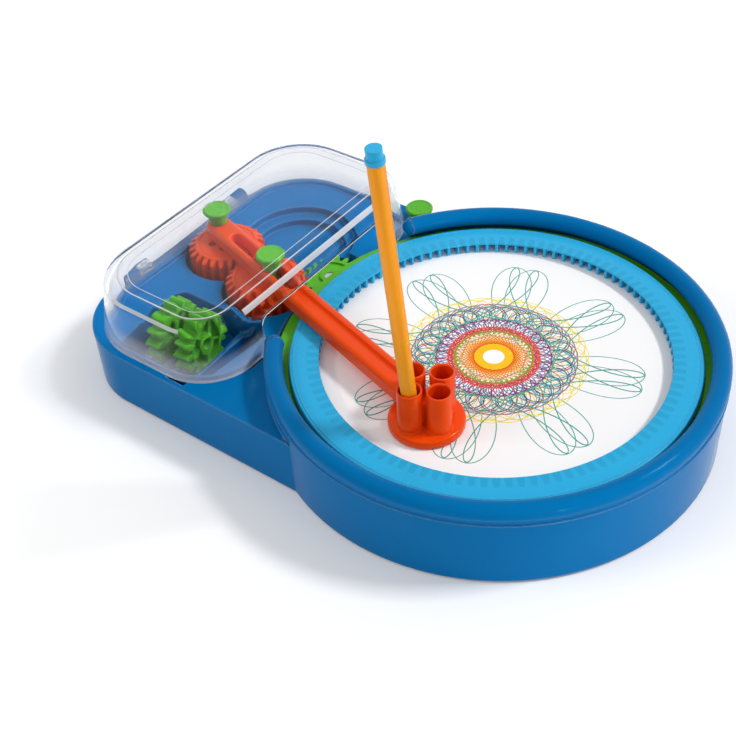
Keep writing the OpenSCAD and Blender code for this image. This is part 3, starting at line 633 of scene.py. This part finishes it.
# Lines over the petals, the lowest first: name, curve, width in millimetres and ink
LACES = [
    ("line_yellow_fringe", wheel_curve(34.6, 8.6, 1, 31, 1500), 0.36, "yellow"),
    ("line_yellow_fringe_2", turned_curve(wheel_curve(34.0, 8.0, 1, 31, 1500), 5.8), 0.36, "yellow"),
    ("line_cyan_lace", wheel_curve(30.6, 7.4, 1, 29, 1500), 0.36, "cyan"),
    ("line_cyan_lace_2", turned_curve(wheel_curve(31.6, 5.0, 1, 31, 1500), 4), 0.34, "cyan"),
    ("line_crimson_lace", wheel_curve(28.2, 10.0, 1, 31, 1500), 0.34, "crimson"),
    ("line_navy_lace", turned_curve(wheel_curve(31.2, 4.8, 1, 31, 1500), 5.8), 0.34, "navy"),
    ("line_purple_lace", wheel_curve(22.8, 3.6, 1, 62, 1700), 0.36, "purple"),
    ("line_rust_band", wheel_curve(19.3, 1.8, 1, 97, 1900), 0.4, "orange"),
    ("line_yellow_strings", star_curve(16.6, 53, 16), 0.32, "gold"),
    ("line_red_strings", star_curve(16.4, 47, 15), 0.28, "orange"),
    ("line_leaf_knots", wheel_curve(17.3, 0.9, 1, 44, 900), 0.5, "leaf"),
    ("line_yellow_core", wheel_curve(7.0, 1.8, 2, 131, 1800), 0.6, "gold"),
    ("line_core_rim", wheel_curve(9.1, 0.12, 1, 30, 300), 0.3, "orange"),
]
BROAD_LAYER = PETAL_SETS + len(LACES)

for k in range(PETAL_SETS):
    turn = PETAL_TURN + PETAL_STEP * (k % 2) + PETAL_SHIFT * (k // 2)
    petals = turned_curve(wheel_curve(41.2, 27.0, 1, -3, PETAL_POINTS), turn)
    pen_line("line_petals_%d" % (k + 1), petals, PETAL_WIDTH, "teal", k)
    broad = turned_curve(wheel_curve(47.4, 20.4, 1, -3, PETAL_POINTS), turn)
    pen_line("line_broad_petals_%d" % (k + 1), broad, PETAL_WIDTH, "teal", BROAD_LAYER + k)
for layer, (name, curve, width, colour) in enumerate(LACES, PETAL_SETS):
    pen_line(name, curve, width, colour, layer)


# The clear lid

LID_THICK = 2 * MM
LID_SLOPE = 4 * MM
LID_EDGE = 6 * MM
LID_REAR_R = 36 * MM
LID_FRONT_R = 28 * MM
LID_LIFT = 0.3 * MM
LID_SOFT = 0.35 * MM
EDGE_STEPS = 8
# Ribs as inset from the lid's top edge and width
OUTER_RIB = (1.7 * MM, 0.8 * MM)
INNER_RIB = (6.5 * MM, 0.4 * MM)
RIB_RISE = 0.12 * MM
RIB_SUNK = 0.1 * MM
# Bands as first angle, last angle and step on the rounded edge, in degrees
FRONT_BAND_ARC = (26, 54, 4)
FRONT_BAND = (-60 * MM, 48 * MM)
NEAR_BAND_ARC = (22, 40, 3)
NEAR_BAND_POINTS = range(36, 42)
HINGE_OFF = 33.2 * MM
HINGE_RAISE = 0.6 * MM
KNUCKLE_R = 3 * MM
KNUCKLE_W = 8 * MM
KNUCKLE_GAP = 0.8 * MM
TAB_HALF = 1.6 * MM
PIN_BORE_R = 1.55 * MM
PIN_BORE_HALF = 12 * MM
PIN_BORE_SHIFT = 4 * MM
ROD_RIM = 0.5 * MM
ROD_COUNT = 32
TONGUE_DEPTH = 3.5 * MM
GATE_NEAR = 52 * MM
GATE_FAR = 47 * MM
GATE_TOP = 48 * MM
GATE_R = 5 * MM

lid_low, lid_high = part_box("lid")
lid_x0 = lid_low.x + 2 * KNUCKLE_R + KNUCKLE_GAP
deck_top = lid_low.z + TONGUE_DEPTH


def lid_plan(d):
    """The lid's outline at its foot, drawn in by d."""
    return rounded_plan(lid_x0 + d, lid_high.x - d, lid_low.y + d, lid_high.y - d,
                        LID_REAR_R - d, LID_FRONT_R - d)


def lid_skin(inset, low, high):
    """Closed block with the lid's sloping walls and rounded upper edge."""
    levels = [(0.0, low)]
    levels += [(LID_SLOPE + drawn_in, z) for drawn_in, z in rounding(LID_EDGE, high, EDGE_STEPS)]
    rings = [at_height(lid_plan(inset + drawn_in), z) for drawn_in, z in levels]
    return scratch("lid_skin", lofted(rings))


def gate_tool():
    """Block with rounded upper corners that opens the lid's front for the arm."""
    foot = deck_top - LID_THICK
    outline = [(-GATE_NEAR, foot)]
    for centre, start in ((-GATE_NEAR + GATE_R, 180), (GATE_FAR - GATE_R, 90)):
        for k in range(EDGE_STEPS + 1):
            a = math.radians(start - 90 * k / EDGE_STEPS)
            outline.append((centre + GATE_R * math.cos(a), GATE_TOP - GATE_R + GATE_R * math.sin(a)))
    outline.append((GATE_FAR, foot))
    back = lid_high.x - 2 * (LID_SLOPE + LID_EDGE)
    front = lid_high.x + LID_EDGE
    rings = [[Vector((x, y, z)) for y, z in outline] for x in (back, front)]
    return scratch("gate_tool", lofted(rings))


def rod(name, centre, radius, half):
    """A round bar along Y with bevelled ends."""
    angles = [2 * math.pi * i / ROD_COUNT for i in range(ROD_COUNT)]
    end, side = radius - ROD_RIM, half - ROD_RIM
    rings = [[centre + Vector((r * math.cos(a), y, r * math.sin(a))) for a in angles]
             for r, y in ((end, -half), (radius, -side), (radius, side), (end, half))]
    return scratch(name, lofted(rings))


def lid_trim(name, bm):
    """A frosted piece on the lid, whose whitish look is a painted highlight line."""
    mesh = finished(scratch(name + "_form", bm), crease=30)
    new_piece(name, mesh, "lid", "clear_plastic", finish="frosted_highlight")


def lid_rib(name, inset, width):
    """A shallow moulded rib that runs round the lid's top, frosted as a painted highlight line."""
    rings = [at_height(lid_plan(LID_SLOPE + LID_EDGE + inset + aside), lid_high.z + rise)
             for aside, rise in rib_section(width, RIB_SUNK, RIB_RISE)]
    lid_trim(name, lofted(rings, False))


def band_section(first, last, step):
    """A band's section on the lid's rounded upper edge, as pairs of inset and height."""
    section = []
    for radius, angles in ((LID_EDGE + RIB_RISE, range(first, last + 1, step)),
                           (LID_EDGE - RIB_RISE, range(last, first - 1, -step))):
        for a in map(math.radians, angles):
            section.append((LID_SLOPE + LID_EDGE - radius * math.cos(a),
                            lid_high.z - LID_EDGE + radius * math.sin(a)))
    return section


def front_highlight_band():
    """A matt band on the lid's rounded upper edge, over the gate, as a painted highlight."""
    section = band_section(*FRONT_BAND_ARC)
    lid_trim("lid_front_band", lofted([[Vector((lid_high.x - d, y, z)) for d, z in section]
                                       for y in FRONT_BAND]))


def near_highlight_band():
    """A matt band on the lid's rounded upper edge at its near side, a little way round both corners, as a
    painted highlight.
    """
    plans = [at_height(lid_plan(d), z) for d, z in band_section(*NEAR_BAND_ARC)]
    lid_trim("lid_near_band", lofted([[plan[i] for plan in plans] for i in NEAR_BAND_POINTS]))


def make_lid():
    """The hollow lid with its gate, hinge knuckles and pin bores."""
    shell = lid_skin(0.0, deck_top + LID_LIFT, lid_high.z)
    hollow = lid_skin(LID_THICK, deck_top - LID_THICK, lid_high.z - LID_THICK)
    combine(shell, [hollow, gate_tool()], "DIFFERENCE")
    lid_mid = (lid_low.y + lid_high.y) / 2
    hinge = Vector((lid_low.x + KNUCKLE_R, lid_mid, deck_top + KNUCKLE_R + HINGE_RAISE))
    extras, bores = [], []
    for side in (-1, 1):
        centre = hinge + Vector((0, side * HINGE_OFF, 0))
        extras.append(rod("knuckle", centre, KNUCKLE_R, KNUCKLE_W / 2))
        extras.append(block("hinge_tab", centre + Vector((0, -KNUCKLE_W / 2, -TAB_HALF)),
                            Vector((lid_x0 + LID_THICK, centre.y + KNUCKLE_W / 2, centre.z + TAB_HALF))))
    combine(shell, extras, "UNION")
    for side in (-1, 1):
        centre = hinge + Vector((0, side * (HINGE_OFF + PIN_BORE_SHIFT), 0))
        bores.append(rod("pin_bore", centre, PIN_BORE_R, PIN_BORE_HALF))
    combine(shell, bores, "DIFFERENCE")
    soften(shell, LID_SOFT, segments=2, limit=40)
    new_piece("clear_lid", finished(shell, crease=30), "lid", "clear_plastic", ["lid"])


make_lid()
lid_rib("lid_outer_rib", *OUTER_RIB)
lid_rib("lid_inner_rib", *INNER_RIB)
front_highlight_band()
near_highlight_band()


# The arm, with rounded rails, a sunk groove, a slot, and four cups on a round foot

ARM_W = 13 * MM
ARM_ROUND = 2.3 * MM
ARM_TOP = 46 * MM
ARM_LOW = 38.4 * MM
ARM_LEN = 170 * MM
BAR_BEVEL = 0.6 * MM
SHANK_R = 3 * MM
PIVOT_PLAY = 0.05 * MM
SLOT = (17 * MM, 64 * MM)
SLOT_PLAY = 0.1 * MM
# The groove's section as inset and height over the arm's top, in millimetres
GROOVE_SECTION = ((1.1, -1.9), (0.45, -1.6), (0, -0.9), (-0.5, 0.02))
GROOVE_HALF = 2.3 * MM
GROOVE_AFTER_SLOT = 7 * MM
CUP_RING = 8.9 * MM
CUP_BORE = 4.6 * MM
CUP_R = 5.5 * MM
CUP_SKIRT = 0.3 * MM
CUP_SKIRT_RISE = 1.2 * MM
CUP_ROUND = 0.45 * MM
CUP_FLARE = 0.35 * MM
CUP_FLARE_DEPTH = 0.5 * MM
CUP_FLARE_OVER = 0.05 * MM
FOOT_R = 17 * MM
FOOT_T = 4 * MM
FOOT_BEVEL = 0.5 * MM
FOOT_ROUND = 1.4 * MM
CORE_SHARE = 0.6
LEG_LEN = 9 * MM
LEG_HALF = 4.5 * MM
SKIM = 0.02 * MM
OVER = 1 * MM
LANE_STEPS = 12
ROUND_STEPS = 6
CUP_ROUND_STEPS = 4
FOOT_COUNT = 96
CUP_COUNT = 56
BORE_COUNT = 64
CROSS = ((1, 0), (0, 1), (-1, 0), (0, -1))

rear_pin = middle("rear_arm_pin")
front_pin = middle("front_arm_pin")
arm_low, arm_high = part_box("drawing_arm")
arm_along = Vector((front_pin.x - rear_pin.x, front_pin.y - rear_pin.y, 0)).normalized()
arm_side = UP.cross(arm_along)


def on_arm(x, y, z):
    """A place along, beside and above the arm's rear pin, in the row frame."""
    return Vector((rear_pin.x, rear_pin.y, 0)) + arm_along * x + arm_side * y + UP * z


def half_circle(x, half, start):
    """Half a circle about a place on the arm's middle line, from an angle in degrees."""
    angles = [math.radians(start + 180 * k / LANE_STEPS) for k in range(LANE_STEPS + 1)]
    return [(x + half * math.cos(a), half * math.sin(a)) for a in angles]


def lane(x0, x1, half, round_end):
    """Outline round a stretch of the arm, with a half-round start and a half-round or a straight end."""
    end = half_circle(x1, half, -90) if round_end else [(x1, -half), (x1, half)]
    return half_circle(x0, half, 90) + end


def lane_block(name, levels, x0, x1, half, round_end=True):
    """A block over such an outline, drawn in by a distance at each height."""
    return scratch(name, lofted([[on_arm(x, y, z) for x, y in lane(x0, x1, half - inset, round_end)]
                                 for inset, z in levels]))


def upright(name, plan, low, high):
    """A block with upright walls over places on the arm."""
    return scratch(name, lofted([[on_arm(x, y, z) for x, y in plan] for z in (low, high)]))


def make_arm():
    """The arm: bar, foot, cups, core and leg in one, with its bores, slot and groove cut out."""
    bar_end = ARM_LEN - CUP_RING
    leg_start = bar_end - LEG_LEN
    foot_z = arm_low.z
    foot_top = foot_z + FOOT_T
    cups = [on_arm(ARM_LEN + CUP_RING * x, CUP_RING * y, 0) for x, y in CROSS]

    bar_levels = [(BAR_BEVEL, ARM_LOW), (0, ARM_LOW + BAR_BEVEL)] + rounding(ARM_ROUND, ARM_TOP, ROUND_STEPS)
    bar = lane_block("arm_bar", bar_levels, 0, bar_end, ARM_W / 2, False)
    foot = [(FOOT_R - FOOT_BEVEL, foot_z), (FOOT_R, foot_z + FOOT_BEVEL)]
    foot += [(FOOT_R - inset, z) for inset, z in rounding(FOOT_ROUND, foot_top, ROUND_STEPS)]
    cup = [(CUP_R + CUP_SKIRT, foot_z + OVER), (CUP_R + CUP_SKIRT, foot_top),
           (CUP_R, foot_top + CUP_SKIRT_RISE)]
    cup += [(CUP_R - inset, z) for inset, z in rounding(CUP_ROUND, arm_high.z, CUP_ROUND_STEPS)]
    core_r = CORE_SHARE * CUP_RING * math.sqrt(2)
    core = [(ARM_LEN + x * core_r, y * core_r) for x, y in CROSS]
    leg = [(leg_start, -LEG_HALF), (bar_end, -LEG_HALF), (bar_end, LEG_HALF), (leg_start, LEG_HALF)]
    extras = [scratch("foot", turned(on_arm(ARM_LEN, 0, 0), foot, FOOT_COUNT))]
    extras += [scratch("cup", turned(centre, cup, CUP_COUNT)) for centre in cups]
    extras.append(upright("core", core, foot_z + OVER, ARM_TOP - OVER))
    extras.append(upright("leg", leg, foot_z + OVER, ARM_LOW + 2 * OVER))
    combine(bar, extras, "UNION")

    pivot = [(SHANK_R + PIVOT_PLAY, z) for z in (ARM_LOW - OVER, ARM_TOP + OVER)]
    slot = [(0, ARM_LOW - OVER), (0, ARM_TOP - BAR_BEVEL), (-BAR_BEVEL, ARM_TOP + SKIM)]
    groove = [(inset * MM, ARM_TOP + z * MM) for inset, z in GROOVE_SECTION]
    bore = [(CUP_BORE, foot_z - OVER), (CUP_BORE, arm_high.z - CUP_FLARE_DEPTH),
            (CUP_BORE + CUP_FLARE, arm_high.z + CUP_FLARE_OVER)]
    cuts = [scratch("pivot_bore", turned(on_arm(0, 0, 0), pivot, BORE_COUNT)),
            lane_block("slot", slot, SLOT[0], SLOT[1], SHANK_R + SLOT_PLAY),
            lane_block("groove", groove, SLOT[1] + GROOVE_AFTER_SLOT, leg_start, GROOVE_HALF)]
    cuts += [scratch("cup_bore", turned(centre, bore, CUP_COUNT)) for centre in cups]
    combine(bar, cuts, "DIFFERENCE")
    new_piece("rounded_arm", finished(bar, crease=32), "arm", "orange_plastic", ["drawing_arm"])


make_arm()


# A narrow ledge under the bowl's rolled edge

LEDGE_R = 0.6 * MM
LEDGE_Z = 35.6 * MM
LEDGE_GAP = 34
LEDGE_STEPS = 200
LEDGE_COUNT = 12


def make_ledge():
    """A round line along the bowl's wall, open where the arm comes in."""
    base_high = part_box("base_shell")[1]
    radius = base_high.x - table_axis.x - LEDGE_R
    turns = [2 * math.pi * k / LEDGE_COUNT for k in range(LEDGE_COUNT)]
    rings = []
    for i in range(LEDGE_STEPS + 1):
        a = math.radians(-180 + LEDGE_GAP + (360 - 2 * LEDGE_GAP) * i / LEDGE_STEPS)
        out = Vector((math.cos(a), math.sin(a), 0))
        centre = Vector((table_axis.x, table_axis.y, LEDGE_Z)) + out * radius
        rings.append([centre + out * LEDGE_R * math.cos(t) + UP * LEDGE_R * math.sin(t) for t in turns])
    mesh = finished(scratch("ledge", lofted(rings)), crease=60)
    new_piece("bowl_ledge", mesh, "base", "blue_plastic")


make_ledge()


# A raised line near the drawing ring's outer edge

RING_LINE_IN = 1.9 * MM
RING_LINE_W = 0.9 * MM
RING_LINE_RISE = 0.15 * MM
RING_LINE_COUNT = 240


def make_ring_line():
    ring_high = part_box("drawing_ring")[1]
    radius = ring_high.x - table_axis.x - RING_LINE_IN
    rings = [circle(table_axis, radius + aside, ring_high.z + rise, RING_LINE_COUNT)
             for aside, rise in rib_section(RING_LINE_W, RING_LINE_RISE, RING_LINE_RISE)]
    mesh = finished(scratch("ring_line_form", lofted(rings, False)), crease=30)
    new_piece("ring_line", mesh, "turntable", "sky_plastic")


make_ring_line()


# Studio

PHOTO_CAMERA = Vector((261.83, -361.6, 406.4)) * MM
CAMERA_AZIMUTH = 39.11
CAMERA_ELEVATION = 41.879
CAMERA_ROLL = -3.869
LENS = 59.99
SENSOR = 36
WORLD_LIGHT = 0.5
FLOOR_HALF = 12.0
# The floor's own glow where it is seen, which grows to white between two distances in metres
FLOOR_GLOW = 0.08
FLOOR_NEAR = 0.4
FLOOR_FAR = 1.4


def make_camera():
    """The camera at the photograph's place, looking down at the machine with a slight roll."""
    azimuth, elevation, roll = map(math.radians, (CAMERA_AZIMUTH, CAMERA_ELEVATION, CAMERA_ROLL))
    right = Vector((math.cos(azimuth), math.sin(azimuth), 0))
    back = Vector((math.sin(azimuth) * math.cos(elevation), -math.cos(azimuth) * math.cos(elevation),
                   math.sin(elevation)))
    up = back.cross(right)
    x_axis = math.cos(roll) * right + math.sin(roll) * up
    y_axis = -math.sin(roll) * right + math.cos(roll) * up
    data = bpy.data.cameras.new("camera")
    data.sensor_width = SENSOR
    data.lens = LENS
    data.clip_start = 0.01
    data.clip_end = 100
    camera = bpy.data.objects.new("camera", data)
    turn = Matrix((x_axis, y_axis, back)).transposed()
    camera.matrix_world = Matrix.Translation(PHOTO_CAMERA) @ turn.to_4x4()
    bpy.context.scene.collection.objects.link(camera)
    bpy.context.scene.camera = camera


def soft_light(name, azimuth, elevation, distance, size, power, height=None, aim=(0, 0, 0), spread=180,
               mirrored=True):
    """A soft box aimed at a place in millimetres. Azimuth runs from +X towards +Y."""
    data = bpy.data.lights.new(name, "AREA")
    data.shape = "RECTANGLE"
    data.size = size
    data.size_y = height or size
    data.energy = power
    lamp = bpy.data.objects.new(name, data)
    a, e = math.radians(azimuth), math.radians(elevation)
    towards = Vector((math.cos(a) * math.cos(e), math.sin(a) * math.cos(e), math.sin(e)))
    lamp.location = Vector(aim) * MM + towards * distance
    data.spread = math.radians(spread)
    lamp.visible_transmission = False
    lamp.visible_glossy = mirrored
    lamp.rotation_mode = "QUATERNION"
    lamp.rotation_quaternion = towards.to_track_quat("Z", "Y")
    bpy.context.scene.collection.objects.link(lamp)


def seen_rays(tree):
    """1 for what the camera sees, straight, mirrored or through the lid, and 0 for light on the object."""
    path = tree.nodes.new("ShaderNodeLightPath").outputs
    seen = math_node(tree, "MAXIMUM", path["Is Camera Ray"], path["Is Glossy Ray"])
    seen = math_node(tree, "MAXIMUM", seen, path["Is Transmission Ray"])
    straight = math_node(tree, "LESS_THAN", path["Diffuse Depth"], 0.5)
    return math_node(tree, "MULTIPLY", seen, straight)


def make_world():
    """A white surround that lights the object less than it shows."""
    world = bpy.data.worlds.new("studio")
    world.use_nodes = True
    bpy.context.scene.world = world
    tree = world.node_tree
    tree.nodes.clear()
    shown = tree.nodes.new("ShaderNodeBackground")
    lit = tree.nodes.new("ShaderNodeBackground")
    lit.inputs["Strength"].default_value = WORLD_LIGHT
    mix = tree.nodes.new("ShaderNodeMixShader")
    output = tree.nodes.new("ShaderNodeOutputWorld")
    for background in (shown, lit):
        background.inputs["Color"].default_value = WHITE
    tree.links.new(seen_rays(tree), mix.inputs["Fac"])
    tree.links.new(lit.outputs[0], mix.inputs[1])
    tree.links.new(shown.outputs[0], mix.inputs[2])
    tree.links.new(mix.outputs[0], output.inputs["Surface"])


def make_floor():
    """A wide white floor."""
    bm = bmesh.new()
    corners = ((-1, -1), (1, -1), (1, 1), (-1, 1))
    bm.faces.new([bm.verts.new((x * FLOOR_HALF, y * FLOOR_HALF, 0)) for x, y in corners])
    mesh = bpy.data.meshes.new("floor")
    bm.to_mesh(mesh)
    bm.free()
    floor = bpy.data.objects.new("floor", mesh)
    bpy.context.scene.collection.objects.link(floor)
    made = Shader("studio_floor", Roughness=0.9, Specular_IOR_Level=0.0, Emission_Color=WHITE)
    made.drive("Base Color", made.blend(made.noise(3.0), srgb(250, 250, 251), srgb(252, 252, 252)))
    away = made.add("ShaderNodeVectorMath", operation="LENGTH")
    made.link(made.place(), away.inputs[0])
    glow = made.spread(away.outputs["Value"], FLOOR_GLOW, 1.0, FLOOR_NEAR, FLOOR_FAR)
    made.drive("Emission Strength", made.math("MULTIPLY", seen_rays(made.tree), glow))
    mesh.materials.append(made.material)


make_camera()
make_world()
make_floor()
soft_light("key", azimuth=38, elevation=48.5, distance=3.0, size=0.6, power=46, height=0.36)
soft_light("overhead", azimuth=-150, elevation=70, distance=2.4, size=1.0, power=3)
soft_light("front_fill", azimuth=-136, elevation=35, distance=2.5, size=0.9, power=10, height=0.3,
           mirrored=False)
soft_light("right_wall", azimuth=-30, elevation=8, distance=1.2, size=0.1, power=0.03, height=0.3,
           aim=(136, -58, 20), spread=5)

bpy.context.scene.view_settings.view_transform = "Standard"
